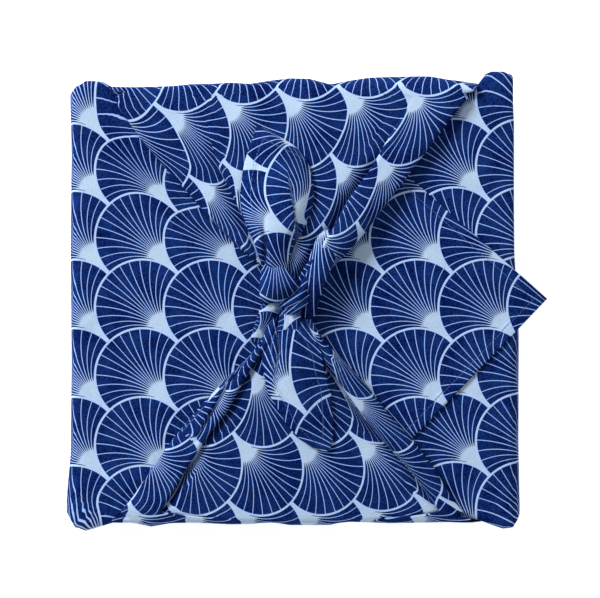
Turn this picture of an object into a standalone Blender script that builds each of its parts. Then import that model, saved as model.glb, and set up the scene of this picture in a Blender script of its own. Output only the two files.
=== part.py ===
"""A furoshiki wrap: one square cotton cloth folded round a flat box and tied on top in a square knot.

Blender 4.5, metres, +Z up. The origin is the middle of the wrap's underside, on the surface it rests on.
+Y is the side of the knot's upper end, +X the side where the left fold's corner sticks out.
Sizes in the tables are in millimetres and become metres where a mesh is made.
"""

import math
from collections import namedtuple

import bmesh
import bpy
import numpy as np

MM = 0.001

# The flat box inside.
BOX_X = 290.0
BOX_Y = 278.0
BOX_Z = 31.0
BOX_BLUNT = 3.2  # how far its edges are rounded off

# The cloth.
SHEET = 1.2  # thickness
GAP = 0.3  # between one layer and the next, and round the box
BEND = 3.0  # radius where the cloth turns over an edge of the box
QUARTER = BEND * math.pi / 2  # the length of cloth in such a turn

# Heights of the middle of each layer.
BASE = SHEET / 2
BOX_LOW = SHEET + GAP
BOX_HIGH = BOX_LOW + BOX_Z
RIGHT_LEVEL = BOX_HIGH + GAP + SHEET / 2
LEFT_LEVEL = RIGHT_LEVEL + SHEET + GAP + 0.1
TIE_LEVEL = LEFT_LEVEL + SHEET / 2 + GAP + SHEET / 2

# How far from the middle each upright layer stands.
SIDE_OUT = BOX_X / 2 + GAP + SHEET / 2
TUCK_OUT = BOX_Y / 2 + GAP + SHEET / 2
TUCK_STEP = SHEET + GAP
TIE_OUT = TUCK_OUT + 3 * TUCK_STEP
CORNER_Y = TUCK_OUT - BEND

# The two plain side flaps: how far each reaches over the top, and how its two hems run back from its tip.
SideFlap = namedtuple("SideFlap", "sign level layers reach tip_y back_slope front_slope droop")
LEFT_FLAP = SideFlap(-1, LEFT_LEVEL, 2, 313.2, 3.8, 0.88, 1.035, 2.5)
RIGHT_FLAP = SideFlap(1, RIGHT_LEVEL, 1, 286.0, 0.0, 1.0, 1.0, 0.0)
FLAP_TUCK = 30.0  # how far a side flap goes on down the end walls, under the tied flaps
TAB_SLANT = 20.0  # the stretch over which that part widens from the corner
EAR_OUT = 5.0  # how far the folded corner stands out
EAR_LONG = 12.0

# The two tied flaps, from the edge of the box to the knot: where their folded sides run, and how high they lie.
TieRow = namedtuple("TieRow", "y left right roll lift")
BACK_ROWS = (
    TieRow(143.0, -121.0, 121.0, 1.2, 0.0),
    TieRow(130.0, -115.0, 110.0, 1.7, 0.3),
    TieRow(110.0, -102.0, 94.0, 2.0, 0.8),
    TieRow(90.0, -84.0, 79.0, 2.3, 1.5),
    TieRow(70.0, -68.5, 64.0, 2.6, 2.2),
    TieRow(50.0, -50.0, 49.5, 3.0, 3.5),
    TieRow(36.0, -36.0, 37.5, 3.2, 4.5),
    TieRow(24.0, -24.0, 27.0, 3.2, 5.0),
    TieRow(8.0, -12.0, 12.0, 2.6, 3.0),
)
FRONT_ROWS = (
    TieRow(143.0, -115.0, 118.0, 1.2, 0.0),
    TieRow(130.0, -107.0, 108.5, 1.7, 0.3),
    TieRow(110.0, -94.5, 93.0, 2.2, 0.8),
    TieRow(90.0, -77.5, 78.5, 2.6, 1.5),
    TieRow(70.0, -58.0, 61.0, 3.0, 2.2),
    TieRow(50.0, -40.5, 42.0, 3.2, 3.5),
    TieRow(36.0, -28.0, 29.0, 3.4, 4.5),
    TieRow(24.0, -21.0, 19.0, 3.2, 5.0),
    TieRow(8.0, -12.0, 10.0, 2.6, 3.0),
)
ROLL_UNDER = 30.0  # how far a folded side turns back under the tied flap
UPPER_SHARE = 0.8  # share of a tied flap's sheet that lies on top
ROLL_SHARE = 0.12  # share that turns under at each folded side
WALL_BULGE = 2.0  # the slack of the tied flaps over the end walls

# Creases of the tied flaps: a ridge where height is above 0, else a trough. The points run towards the knot.
Crease = namedtuple("Crease", "height width points")
BACK_CREASES = (
    Crease(-2.0, 4.5, ((46, 86), (40, 73), (32, 62), (21, 40), (8, 22))),
    Crease(3.0, 7.0, ((38, 104), (33, 77), (23, 57), (12, 37))),
    Crease(2.5, 7.0, ((72, 104), (54, 74), (34, 44), (16, 18))),
    Crease(-1.4, 6.0, ((49, 132), (45, 92))),
    Crease(-2.0, 5.5, ((-46, 94), (-38, 74), (-33, 53), (-27, 37))),
    Crease(2.5, 8.0, ((-86, 120), (-62, 90), (-43, 64), (-29, 41))),
)
FRONT_CREASES = (
    Crease(-2.0, 4.5, ((-81, -131), (-60, -93), (-41, -62), (-31, -47))),
    Crease(3.0, 6.5, ((-96, -125), (-75, -95), (-57, -69), (-39, -52), (-28, -40))),
    Crease(2.5, 7.0, ((-67, -118), (-54, -92), (-39, -65))),
    Crease(-1.5, 9.0, ((-7, -87), (-14, -72), (-21, -55))),
    Crease(-2.0, 4.5, ((92, -131), (73, -107), (46, -74), (21, -41))),
    Crease(3.0, 6.5, ((97, -118), (76, -92), (52, -65), (27, -36))),
    Crease(2.5, 6.0, ((60, -112), (37, -82), (17, -49))),
)

# The knot: a broad band goes over the top, two strands cross under it, and gathered cloth fills it.
BandRow = namedtuple("BandRow", "x y z broad thick")
TOP_BAND = (
    BandRow(-20.0, 11.0, 43.0, 8.0, 3.6),
    BandRow(-18.5, 10.0, 51.0, 10.5, 4.4),
    BandRow(-12.0, 8.5, 56.0, 12.5, 4.6),
    BandRow(-4.0, 6.5, 57.0, 13.5, 4.6),
    BandRow(4.0, 3.0, 54.0, 12.5, 4.4),
    BandRow(8.5, -1.0, 47.0, 10.0, 4.0),
    BandRow(9.0, -3.0, 42.0, 8.0, 3.6),
)
RIGHT_STRAND = (
    BandRow(21.0, 34.0, 46.0, 5.0, 3.0),
    BandRow(15.5, 20.0, 50.0, 5.5, 3.8),
    BandRow(11.5, 6.0, 51.0, 5.5, 4.2),
    BandRow(9.0, -8.0, 49.0, 5.5, 4.2),
    BandRow(5.0, -20.0, 45.0, 5.0, 3.4),
)
LEFT_STRAND = (
    BandRow(-17.0, 8.0, 46.0, 5.0, 4.0),
    BandRow(-15.0, -6.0, 49.5, 6.0, 4.4),
    BandRow(-11.0, -17.0, 48.0, 6.0, 4.2),
    BandRow(-6.0, -27.0, 45.5, 5.0, 3.4),
)
CORE = ((-4.5, 0.5, 46.5), (17.5, 23.5, 9.8))  # middle and half sizes

# The two free ends. Each row goes across an end, from its left side to its right one, starting in the knot.
EndRow = namedtuple("EndRow", "left_x left_y right_x right_y above crown")
BACK_END = (
    EndRow(-14.0, 8.0, -4.0, 7.0, 2.2, 1.0),
    EndRow(-18.5, 24.0, -1.0, 24.5, 2.2, 3.0),
    EndRow(-25.0, 38.0, 2.0, 40.5, 2.2, 4.5),
    EndRow(-32.0, 53.5, 8.0, 53.5, 2.1, 5.0),
    EndRow(-35.2, 67.5, 12.2, 67.0, 2.1, 4.5),
    EndRow(-35.0, 80.0, 12.4, 80.0, 2.1, 4.0),
    EndRow(-32.5, 95.0, 8.5, 94.0, 2.0, 3.0),
    EndRow(-27.5, 110.0, 0.0, 104.5, 2.0, 2.0),
    EndRow(-25.0, 117.5, -20.5, 116.6, 2.0, 0.5),
)
FRONT_END = (
    EndRow(-14.0, -6.0, 6.0, -8.0, 2.2, 1.0),
    EndRow(-20.0, -20.0, 11.0, -19.0, 2.2, 3.5),
    EndRow(-21.8, -30.0, 17.0, -30.0, 2.2, 4.5),
    EndRow(-20.3, -42.5, 20.0, -44.0, 2.2, 4.5),
    EndRow(-17.6, -57.0, 23.7, -56.5, 2.1, 4.0),
    EndRow(-11.4, -67.5, 24.8, -67.5, 2.1, 3.5),
    EndRow(-4.5, -79.5, 25.4, -80.0, 2.0, 2.5),
    EndRow(7.8, -91.5, 24.8, -91.0, 2.0, 1.0),
    EndRow(20.0, -97.0, 22.8, -96.4, 2.0, 0.3),
)
END_CREASES = (
    Crease(-2.0, 4.5, ((8, 72), (6, 58), (1, 40), (-4, 26))),
    Crease(1.6, 6.0, ((-14, 76), (-12, 45), (-12, 26))),
    Crease(1.6, 6.0, ((10, -66), (8, -42), (6, -20))),
)

# How finely each solid is cut.
TIE_ACROSS = 14
BASE_ALONG = 10
BAND_SIDES = 10
END_ACROSS = 8


def ease(share):
    """0 to 1, with no kink at either end."""
    share = min(1.0, max(0.0, share))
    return share * share * (3 - 2 * share)


def column(rows, name, at):
    """A named column of a table of rows, read between them by the distance from the middle of the wrap."""
    keys = [row.y for row in rows][::-1]
    return float(np.interp(at, keys, [getattr(row, name) for row in rows][::-1]))


def creased(creases, x, y):
    """The height that the creases add at a point: each is a soft ridge or trough that fades at its first end."""
    total = 0.0
    for crease in creases:
        points = np.array(crease.points, float)
        starts, runs = points[:-1], np.diff(points, axis=0)
        share = ((x - starts[:, 0]) * runs[:, 0] + (y - starts[:, 1]) * runs[:, 1]) / (runs**2).sum(1)
        share = np.clip(share, 0, 1)
        off = np.hypot(x - starts[:, 0] - share * runs[:, 0], y - starts[:, 1] - share * runs[:, 1])
        nearest = int(off.argmin())
        along = (nearest + share[nearest]) / len(runs)
        total += crease.height * ease(along / 0.3) * math.exp(-((off[nearest] / crease.width) ** 2))
    return total


def over_edge(distance, edge, level):
    """(outwards, z) of a layer that leaves the base, goes up a wall and turns in over the top."""
    wall = level - BASE - 2 * BEND
    if distance < QUARTER:
        turn = distance / BEND
        return edge - BEND + BEND * math.sin(turn), BASE + BEND - BEND * math.cos(turn)
    if distance < QUARTER + wall:
        return edge, BASE + BEND + distance - QUARTER
    turn = min((distance - QUARTER - wall) / BEND, math.pi / 2)
    inwards = max(0.0, distance - 2 * QUARTER - wall)
    return edge - BEND + BEND * math.cos(turn) - inwards, level - BEND + BEND * math.sin(turn)


def edge_distance(level):
    """How far along its way over_edge passes the upper edge of the box."""
    return BEND * math.pi * 0.75 + level - BASE - 2 * BEND


def side_point(flap, distance, nominal):
    """A point of a side flap. nominal is the place across the flap before its hems narrow it."""
    past_edge = distance - edge_distance(flap.level)
    outwards, z = over_edge(distance, SIDE_OUT, flap.level)
    back_hem = flap.tip_y + flap.back_slope * (flap.reach - past_edge)
    front_hem = flap.tip_y - flap.front_slope * (flap.reach - past_edge)
    back, front = min(CORNER_Y, back_hem), max(-CORNER_Y, front_hem)
    share = (min(max(nominal, -CORNER_Y), CORNER_Y) + CORNER_Y) / (2 * CORNER_Y)
    low = max(0.0, 1 - distance / QUARTER)
    y = (front + (back - front) * share) * (1 + low * (TIE_OUT - TUCK_OUT) / CORNER_Y)
    if past_edge > 2 * SIDE_OUT:
        z -= flap.droop * ((past_edge - 2 * SIDE_OUT) / (flap.reach - 2 * SIDE_OUT)) ** 2
    spare = max(0.0, (back_hem if nominal > 0 else -front_hem) - CORNER_Y)
    beyond = min(abs(nominal) - CORNER_Y, spare)
    if beyond <= 0:
        return flap.sign * outwards, y, z
    # Past the corner the flap's wall turns in along the end wall, and its top turns down over that.
    turn = min(beyond / BEND, (1 - low) * math.pi / 2)
    over = min(max(0.0, (past_edge + QUARTER / 2) / BEND), math.pi / 2)
    outwards -= BEND * math.cos(over) * (1 - math.cos(turn))
    z -= BEND * math.sin(over) * (1 - math.cos(turn))
    tab = max(0.0, beyond - QUARTER)
    if past_edge < 0:
        outwards -= tab * min(1.0, distance / TAB_SLANT) * min(1.0, max(0.0, -past_edge - QUARTER / 2) / EAR_LONG)
        layer = 0.0
    else:
        begun = max(0.0, past_edge - QUARTER / 2)
        hanging = tab * min(1.0, begun / TAB_SLANT)
        z -= hanging
        layer = flap.layers * TUCK_STEP * ease(begun / 4) * math.sin(turn)
        layer += EAR_OUT * math.sin(math.pi * min(1.0, begun / EAR_LONG)) * hanging / FLAP_TUCK
    out_y = CORNER_Y + low * (TIE_OUT - TUCK_OUT) + BEND * math.sin(turn) + layer
    return flap.sign * outwards, math.copysign(out_y, nominal), z


def tie_top(rows, creases, x, y):
    """The height of the middle of a tied flap's upper layer."""
    out = abs(y)
    level = TIE_LEVEL + 2 * column(rows, "roll", out) + column(rows, "lift", out)
    return level + ease((TIE_OUT - out) / 12) * creased(creases, x, y)


def tie_point(rows, creases, sign, distance, across):
    """A point of a tied flap. across runs from -1 to 1 over its whole width, with what is folded under it."""
    level = TIE_LEVEL + 2 * rows[0].roll
    outwards, z = over_edge(distance, TIE_OUT, level)
    past_edge = distance - edge_distance(level)
    if past_edge <= 0:
        # On the end wall the sides slant in from the corners of the base.
        height = distance / edge_distance(level)
        corner = SIDE_OUT - BEND
        left = -corner + (rows[0].left + corner) * height
        right = corner + (rows[0].right - corner) * height
        bulge = WALL_BULGE * math.sin(math.pi * height) * (1 - across**2)
        return (left + right) / 2 + across * (right - left) / 2, sign * (outwards + bulge), z
    left = column(rows, "left", outwards)
    right = column(rows, "right", outwards)
    radius = column(rows, "roll", outwards)
    curl = math.pi * ease(past_edge / 14)
    half = (right - left) / 2
    flat = half - radius
    under = min(ROLL_UNDER * ease((past_edge - 8) / 25), flat - 1.0)
    upper = min(abs(across) / UPPER_SHARE, 1.0) * flat
    turn = min(max(0.0, abs(across) - UPPER_SHARE) / ROLL_SHARE, 1.0) * curl
    back = max(0.0, abs(across) - UPPER_SHARE - ROLL_SHARE) / (1 - UPPER_SHARE - ROLL_SHARE) * under
    offset = math.copysign(upper + radius * math.sin(turn) + back * math.cos(turn), across)
    x = (left + right) / 2 + offset
    z += column(rows, "lift", outwards) + 2 * (column(rows, "roll", outwards) - rows[0].roll)
    z -= radius * (1 - math.cos(turn)) + back * math.sin(turn)
    shown = (1 - turn / math.pi) * ease((TIE_OUT - outwards) / 12)
    return x, sign * outwards, z + shown * creased(creases, x, sign * outwards)


def end_point(rows, tie, creases, along, share):
    """A point of a free end: along counts its rows, share runs from its left side to its right one."""
    first = min(int(along), len(rows) - 2)
    here = [a + (b - a) * (along - first) for a, b in zip(rows[first], rows[first + 1])]
    row = EndRow(*here)
    x = row.left_x + (row.right_x - row.left_x) * share
    y = row.left_y + (row.right_y - row.left_y) * share
    side = (2 * share - 1) ** 2
    z = tie_top(tie, creases, x, y) + row.above + row.crown * (1 - side)
    return x, y, z + (1 - side) * creased(END_CREASES, x, y)


def grid_mesh(columns, rows, place):
    """A sheet from a grid: place(column, row) says where each of its points goes, in millimetres."""
    bm = bmesh.new()
    bmesh.ops.create_grid(bm, x_segments=len(columns) - 1, y_segments=len(rows) - 1, size=0.5)
    for vert in bm.verts:
        i = round((vert.co.x + 0.5) * (len(columns) - 1))
        j = round((vert.co.y + 0.5) * (len(rows) - 1))
        vert.co = [MM * value for value in place(columns[i], rows[j])]
    return bm


def stops(first, *more):
    """Even steps between stops: stops(0, (10, 2), (40, 3)) is 0, 5, 10, 20, 30, 40."""
    found = [float(first)]
    for stop, count in more:
        found += [float(value) for value in np.linspace(found[-1], stop, count + 1)[1:]]
    return found


def add_to(target, source):
    """Adds one bmesh to another and frees it."""
    mesh = bpy.data.meshes.new("joining")
    source.to_mesh(mesh)
    source.free()
    target.from_mesh(mesh)
    bpy.data.meshes.remove(mesh)


def cloth_sheet():
    """The cloth's middle surface up to its knot: the base, the side flaps and the tied flaps in one sheet."""
    turning = stops(UPPER_SHARE, (UPPER_SHARE + ROLL_SHARE, 3), (1, 2))[1:]
    shares = [-value for value in turning[::-1]] + stops(-UPPER_SHARE, (UPPER_SHARE, TIE_ACROSS)) + turning
    inner = [float(value) * CORNER_Y for value in np.linspace(-1, 1, BASE_ALONG + 1)]
    outer = stops(CORNER_Y, (CORNER_Y + QUARTER, 2), (CORNER_Y + FLAP_TUCK, 2))[1:]
    across = [-value for value in outer[::-1]] + inner + outer
    corner = SIDE_OUT - BEND
    sheet = grid_mesh(shares, inner, lambda q, y: (q * corner, y * (TIE_OUT - BEND) / CORNER_Y, BASE))
    for flap in (LEFT_FLAP, RIGHT_FLAP):
        edge = edge_distance(flap.level)
        full = edge + flap.reach - CORNER_Y - FLAP_TUCK
        half = QUARTER / 2
        rows = stops(0, (QUARTER, 2), (TAB_SLANT, 1), (edge - half, 2), (edge + half, 2), (edge + half + 4, 1))
        rows = rows[:-1] + stops(edge + half + 4, (edge + 30, 3), (full - 15, 2), (full + 15, 2))
        rows = rows[:-1] + stops(full + 15, (full + FLAP_TUCK + 4, 6), (edge + flap.reach - 20, 4))
        rows += [edge + flap.reach - 10, edge + flap.reach]
        bm = grid_mesh(across, rows, lambda y, d, flap=flap: side_point(flap, d, y))
        if flap.sign > 0:
            bmesh.ops.reverse_faces(bm, faces=bm.faces)
        add_to(sheet, bm)
    for sign, table, creases in ((1, BACK_ROWS, BACK_CREASES), (-1, FRONT_ROWS, FRONT_CREASES)):
        edge = edge_distance(TIE_LEVEL + 2 * table[0].roll)
        half = QUARTER / 2
        rows = stops(0, (QUARTER, 2), (edge - half, 3), (edge + half, 2), (edge + 26, 4), (edge + 134, 13))
        bm = grid_mesh(shares, rows, lambda q, d, s=sign, t=table, c=creases: tie_point(t, c, s, d, q))
        if sign < 0:
            bmesh.ops.reverse_faces(bm, faces=bm.faces)
        add_to(sheet, bm)
    bmesh.ops.remove_doubles(sheet, verts=sheet.verts, dist=0.00002)
    bmesh.ops.recalc_face_normals(sheet, faces=sheet.faces)
    return sheet


def free_end(rows, tie, creases):
    """The middle surface of a free end, as a sheet that starts inside the knot."""
    shares = [float(value) for value in np.linspace(0, 1, END_ACROSS + 1)]
    alongs = [float(value) for value in np.arange(0, len(rows) - 0.75, 0.5)]
    return grid_mesh(shares, alongs, lambda share, along: end_point(rows, tie, creases, along, share))


def band(rows):
    """A closed strand with an oval section that is broad across its run and thick upwards."""
    bm = bmesh.new()
    rings = []
    for number, row in enumerate(rows):
        before, after = rows[max(0, number - 1)], rows[min(len(rows) - 1, number + 1)]
        run = np.array([after.x - before.x, after.y - before.y, after.z - before.z])
        run = run / np.linalg.norm(run)
        side = np.cross(run, (0.0, 0.0, 1.0))
        side = side / np.linalg.norm(side)
        up = np.cross(side, run)
        ring = []
        for step in range(BAND_SIDES):
            angle = 2 * math.pi * step / BAND_SIDES
            spot = np.array([row.x, row.y, row.z])
            spot = spot + row.broad * math.cos(angle) * side + row.thick * math.sin(angle) * up
            ring.append(bm.verts.new([MM * float(value) for value in spot]))
        rings.append(ring)
    for lower, upper in zip(rings, rings[1:]):
        for step in range(BAND_SIDES):
            beside = (step + 1) % BAND_SIDES
            bm.faces.new((lower[step], lower[beside], upper[beside], upper[step]))
    bm.faces.new(rings[0][::-1])
    bm.faces.new(rings[-1])
    bmesh.ops.recalc_face_normals(bm, faces=bm.faces)
    return bm


def knot_core():
    """The gathered cloth inside the knot."""
    middle, halves = CORE
    bm = bmesh.new()
    bmesh.ops.create_icosphere(bm, subdivisions=2, radius=1.0)
    for vert in bm.verts:
        vert.co = [MM * (m + h * value) for m, h, value in zip(middle, halves, vert.co)]
    return bm


def flat_box():
    """The box that the cloth is folded round."""
    bm = bmesh.new()
    bmesh.ops.create_cube(bm, size=1.0)
    for vert in bm.verts:
        x, y, z = vert.co
        vert.co = (MM * BOX_X * x, MM * BOX_Y * y, MM * (BOX_LOW + BOX_Z * (z + 0.5)))
    bmesh.ops.bevel(bm, geom=bm.edges, offset=MM * BOX_BLUNT, segments=2, profile=0.5, affect="EDGES")
    return bm


def new_object(name, bm, collection, colour=None):
    """An object from a bmesh, with a plain material of its own where a colour is given."""
    mesh = bpy.data.meshes.new(name)
    bm.to_mesh(mesh)
    bm.free()
    made = bpy.data.objects.new(name, mesh)
    collection.objects.link(made)
    if colour is None:
        made.hide_render = True
        made.display_type = "WIRE"
        return made
    material = bpy.data.materials.new(name)
    material.use_nodes = True
    shader = material.node_tree.nodes["Principled BSDF"]
    shader.inputs["Base Color"].default_value = (*colour, 1)
    shader.inputs["Roughness"].default_value = 0.9
    mesh.materials.append(material)
    return made


def thicken(target):
    """Gives a middle surface the cloth's thickness, half to each side."""
    solid = target.modifiers.new("thickness", "SOLIDIFY")
    solid.thickness = MM * SHEET
    solid.offset = 0


def main():
    for old in list(bpy.data.objects):
        bpy.data.objects.remove(old)
    wrap = bpy.data.collections.new("furoshiki wrap")
    pieces = bpy.data.collections.new("knot pieces")
    bpy.context.scene.collection.children.link(wrap)
    bpy.context.scene.collection.children.link(pieces)

    cloth = new_object("cloth", cloth_sheet(), wrap, (0.008, 0.02, 0.11))
    thicken(cloth)
    knot = [new_object("core", knot_core(), pieces)]
    for name, rows in (("top_band", TOP_BAND), ("right_strand", RIGHT_STRAND), ("left_strand", LEFT_STRAND)):
        knot.append(new_object(name, band(rows), pieces))
    ends = (("back_end", BACK_END, BACK_ROWS, BACK_CREASES), ("front_end", FRONT_END, FRONT_ROWS, FRONT_CREASES))
    for name, rows, tie, creases in ends:
        end = new_object(name, free_end(rows, tie, creases), pieces)
        thicken(end)
        knot.append(end)
    for piece in knot:
        union = cloth.modifiers.new(piece.name, "BOOLEAN")
        union.operation = "UNION"
        union.solver = "EXACT"
        union.object = piece

    new_object("box", flat_box(), wrap, (0.42, 0.31, 0.2))


main()
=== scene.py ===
"""A furoshiki wrap: one square of printed cotton folded round a flat box and tied on top in a square knot.

Sizes are in millimetres, and become metres where a mesh or a material is made. +Z is up, and the origin is
in the middle of the underside. The whole cloth is one sheet, from its base through its four flaps to the
knot and both free ends. Each of its points also carries its place on the unfolded square and its distance
from the hem, as the attribute "cut", and the print and the weave follow that.
"""

import math
from collections import namedtuple
from functools import partial

import bmesh
import bpy
import numpy as np
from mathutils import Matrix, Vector


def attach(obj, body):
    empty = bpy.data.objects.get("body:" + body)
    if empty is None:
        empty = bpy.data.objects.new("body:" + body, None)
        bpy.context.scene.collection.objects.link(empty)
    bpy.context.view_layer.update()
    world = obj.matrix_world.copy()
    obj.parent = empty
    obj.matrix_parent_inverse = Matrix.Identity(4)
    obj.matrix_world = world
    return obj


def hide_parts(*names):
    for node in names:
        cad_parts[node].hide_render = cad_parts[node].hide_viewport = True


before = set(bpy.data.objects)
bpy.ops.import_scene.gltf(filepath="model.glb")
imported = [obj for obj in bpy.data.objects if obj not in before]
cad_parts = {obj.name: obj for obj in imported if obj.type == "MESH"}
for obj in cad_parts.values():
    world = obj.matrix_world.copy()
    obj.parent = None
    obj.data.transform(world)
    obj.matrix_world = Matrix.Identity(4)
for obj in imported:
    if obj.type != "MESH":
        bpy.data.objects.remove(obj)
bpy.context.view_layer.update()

MM = 0.001

# The wrap as it is packed: the box, the thickness of a layer of cloth and the gap between layers, the
# radius of a bend and the length of a quarter of it, how high each layer lies, and how far out the walls
# and corners are.
BOX_X = 290.0
BOX_Y = 278.0
BOX_Z = 31.0
SHEET = 1.2
GAP = 0.3
LOOSER = 0.1  # the left flap lies a little more loosely
BEND = 3.0
QUARTER = BEND * math.pi / 2
BASE = SHEET / 2
BOX_HIGH = SHEET + GAP + BOX_Z
RIGHT_LEVEL = BOX_HIGH + GAP + SHEET / 2
LEFT_LEVEL = RIGHT_LEVEL + SHEET + GAP + LOOSER
TIE_LEVEL = LEFT_LEVEL + SHEET + GAP
SIDE_OUT = BOX_X / 2 + GAP + SHEET / 2
TUCK_OUT = BOX_Y / 2 + GAP + SHEET / 2
TUCK_STEP = SHEET + GAP
TIE_OUT = TUCK_OUT + 3 * TUCK_STEP
CORNER_X = SIDE_OUT - BEND
CORNER_Y = TUCK_OUT - BEND

# The cloth as it is cut and printed.
COTTON = 0.45  # thickness of the cloth as it is shown
REPEAT = 45.6  # the fan print's square repeat
PRINT_FROM = (26.75, 21.15)  # where one fan's root lies on the cut cloth
NO_HEM = 60.0  # stands for a distance from the hem where none is near


def fan_root(east, north):
    """Where a fan's root lies on the cut cloth, counted in repeats."""
    return PRINT_FROM[0] + east * REPEAT, PRINT_FROM[1] + north * REPEAT


# The side flaps: the sign of their side, how high they lie, how many layers they turn down over at the
# ends of the box, how far they reach over it, how far off the middle their corner lies, how steeply their
# two hems run to it, how far the corner droops, and how far the print is shifted.
SideFlap = namedtuple("SideFlap", "sign level layers reach tip_y back_slope front_slope droop shift")
LEFT_FLAP = SideFlap(-1, LEFT_LEVEL, 2, 313.2, 3.8, 0.88, 1.035, 2.5, (-1.3, 0.0))
RIGHT_FLAP = SideFlap(1, RIGHT_LEVEL, 1, 286.0, 0.0, 1.0, 1.0, 0.0, (16.45, -2.35))
# The cloth of a side flap that turns down past each end of the box: its depth, how far it takes to slant
# in and to come out over the layers there, and how far and how long it bulges near the corner of the box.
FLAP_TUCK = 30.0
TAB_SLANT = 20.0
TAB_OVER = 4.0
EAR_OUT = 5.0
EAR_LONG = 12.0

# The tied flaps, from the edge of the box to the knot: where their folded sides and the two long folds
# inside them run, how thick the folded sides are, how high they lie, how far the cloth is gathered, and
# how deep, high and broad each long fold is, with the cloth that it hides.
TieRow = namedtuple(
    "TieRow",
    "y left left_fold right_fold right roll lift gather"
    " left_deep left_high left_wide left_spare right_deep right_high right_wide right_spare",
)
BACK_ROWS = (
    TieRow(143.0, -121.7, -62.7, 83.2, 120.2, 1.2, 0.0, 0.885, 0.0, 0.0, 6.0, 0.0, 0.0, 0.0, 8.0, 0.0),
    TieRow(130.0, -116.5, -59.6, 74.0, 109.4, 1.7, 0.3, 0.885, 0.0, 0.2, 6.0, 0.0, 0.3, 0.3, 8.0, 0.0),
    TieRow(110.0, -102.2, -56.0, 61.7, 93.8, 2.0, 0.8, 0.810, 0.8, 0.6, 8.0, 1.0, 1.8, 1.0, 9.0, -1.5),
    TieRow(90.0, -85.6, -50.3, 50.2, 79.1, 2.3, 1.5, 0.765, 3.0, 1.5, 10.0, 4.0, 4.5, 2.4, 9.0, -3.0),
    TieRow(70.0, -67.3, -40.3, 35.7, 63.9, 2.6, 2.5, 0.715, 4.0, 2.0, 9.0, 5.0, 6.5, 3.6, 8.0, -6.0),
    TieRow(50.0, -50.4, -31.3, 25.1, 49.2, 3.0, 4.0, 0.660, 4.5, 2.5, 7.0, 5.0, 7.5, 4.6, 8.0, -11.0),
    TieRow(36.0, -35.6, -25.0, 14.8, 37.2, 3.2, 5.0, 0.660, 4.5, 2.5, 4.0, 5.0, 8.0, 4.8, 7.0, -9.0),
    TieRow(24.0, -20.3, -18.5, 5.5, 25.3, 3.2, 5.0, 0.700, 3.0, 1.5, 1.0, 5.0, 6.0, 3.8, 5.0, -9.0),
    TieRow(8.0, -13.6, -11.3, -3.0, 11.9, 2.6, 3.0, 0.700, 1.5, 1.0, 1.0, 5.0, 2.0, 1.5, 3.0, 4.0),
)
FRONT_ROWS = (
    TieRow(143.0, -121.0, -91.5, 99.4, 117.1, 1.2, 0.0, 0.912, 1.0, 0.8, 5.0, 8.0, 0.8, 0.5, 5.0, 10.0),
    TieRow(130.0, -109.1, -83.6, 91.1, 105.6, 1.7, 0.3, 0.912, 4.0, 2.4, 6.0, 9.0, 4.2, 1.8, 6.0, 18.0),
    TieRow(110.0, -95.5, -71.9, 76.6, 94.0, 2.2, 0.8, 0.890, 5.0, 2.8, 6.0, 5.5, 5.6, 2.6, 7.0, 22.0),
    TieRow(90.0, -81.8, -58.9, 58.6, 79.2, 2.6, 1.5, 0.860, 4.0, 2.4, 6.0, 3.5, 6.4, 3.0, 8.0, 26.0),
    TieRow(70.0, -65.3, -43.7, 41.4, 60.8, 3.0, 2.5, 0.780, 4.5, 3.0, 7.0, -3.0, 7.0, 3.4, 9.0, 28.0),
    TieRow(50.0, -46.6, -32.8, 28.0, 45.7, 3.2, 4.0, 0.660, 4.5, 3.0, 6.0, -8.0, 7.6, 3.6, 8.0, 30.0),
    TieRow(36.0, -32.5, -24.3, 18.6, 32.0, 3.4, 5.0, 0.600, 4.5, 2.6, 4.0, -6.0, 7.6, 3.6, 6.0, 30.0),
    TieRow(24.0, -21.4, -16.8, 12.2, 20.0, 3.2, 5.0, 0.600, 3.0, 1.6, 2.0, 12.0, 3.0, 2.0, 3.0, 30.0),
    TieRow(8.0, -12.5, -9.8, 5.8, 10.5, 2.6, 3.0, 0.600, 1.5, 1.0, 1.0, 12.0, 1.5, 1.0, 2.0, 30.0),
)
# How each tied flap lies: sign of its side, which side of each long fold is the high one, where its print
# starts (the flap's place and the fan's root that comes to it), how its rows of fans slant, and how much
# more cloth runs along its right-hand and its left-hand fold.
TiedFlap = namedtuple("TiedFlap", "sign rows left_side right_side start_x root slant run_on left_run_on")
BACK_FLAP = TiedFlap(
    sign=1,
    rows=BACK_ROWS,
    left_side=1,
    right_side=1,
    start_x=-11.8,
    root=fan_root(-1, 4),
    slant=((-125, 129.0), (-92, 132.9), (-52, 139.6), (-12, 142.9), (26, 144.9), (70, 146.2), (125, 148.0)),
    run_on=((50, 0.0), (130, 0.0)),
    left_run_on=((60, -6.0), (92, -6.0), (125, 0.0)),
)
FRONT_FLAP = TiedFlap(
    sign=-1,
    rows=FRONT_ROWS,
    left_side=-1,
    right_side=1,
    start_x=-2.0,
    root=fan_root(-1, -5),
    slant=((-125, 131.0), (-84, 131.6), (-44, 130.3), (-2, 131.6), (41, 129.6), (82, 125.6), (125, 124.0)),
    run_on=((54, 16.7), (130, 1.6), (184, 0.0)),
    left_run_on=((36, 10.0), (52, 10.0), (70, 7.0), (90, 2.0), (110, 0.0)),
)
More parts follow.
